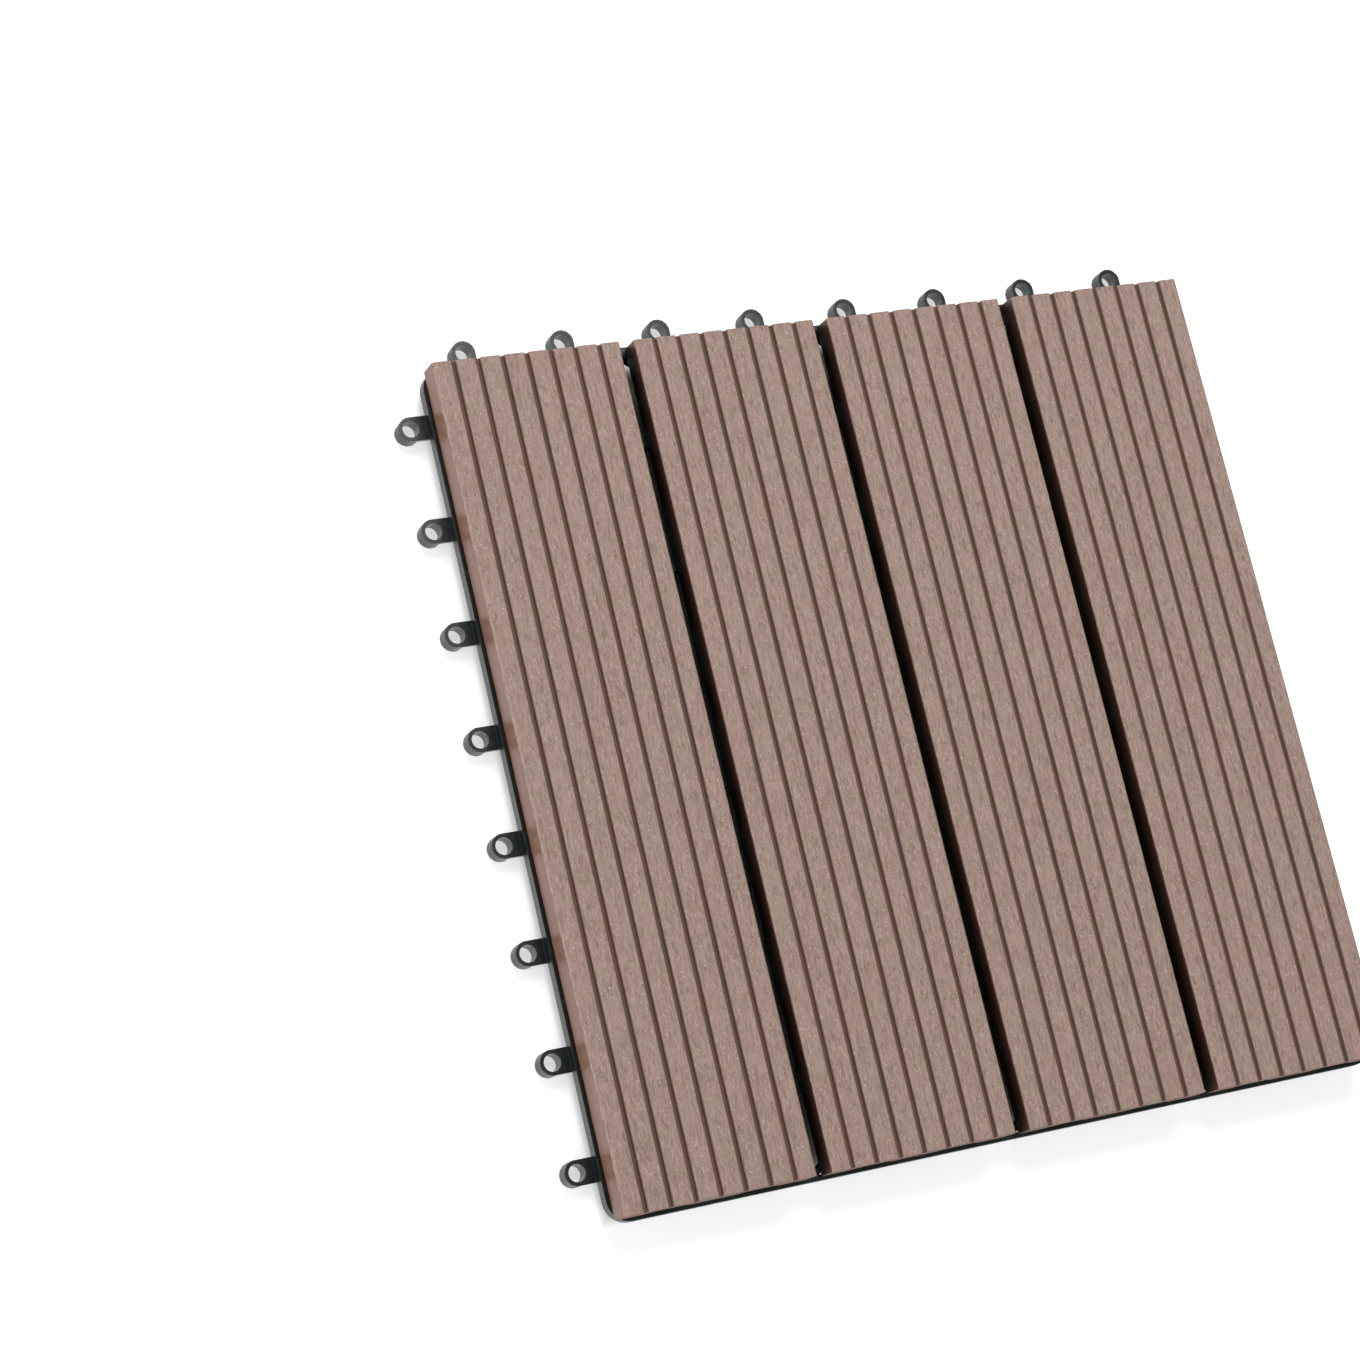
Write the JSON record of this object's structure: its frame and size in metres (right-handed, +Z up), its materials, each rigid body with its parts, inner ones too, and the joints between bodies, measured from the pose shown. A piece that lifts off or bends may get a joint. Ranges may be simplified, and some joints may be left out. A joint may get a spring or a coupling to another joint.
{
  "type": "interlocking deck tile",
  "caption": "Square interlocking deck tile: grooved wood-plastic composite slats screwed to a moulded snap grid with round feet, loops on two edges and pegs on the other two.",
  "frame": {"origin": "middle of the square tile, on the floor under the feet", "axes": "+Z up, out of the grooved deck; +Y along the slats; +X across them. The loops are on the -X and +Y edges"},
  "size_m": [0.3089, 0.3089, 0.022],
  "materials": {
    "slat": "brushed wood-plastic composite, matte",
    "grid": "satin black polypropylene",
    "screw": "zinc plated"
  },
  "bodies": {
    "root": {"base_grid": "grid", "slat_1": "slat", "slat_2": "slat", "slat_3": "slat", "slat_4": "slat", "screws": "screw"}
  },
  "joints": []
}
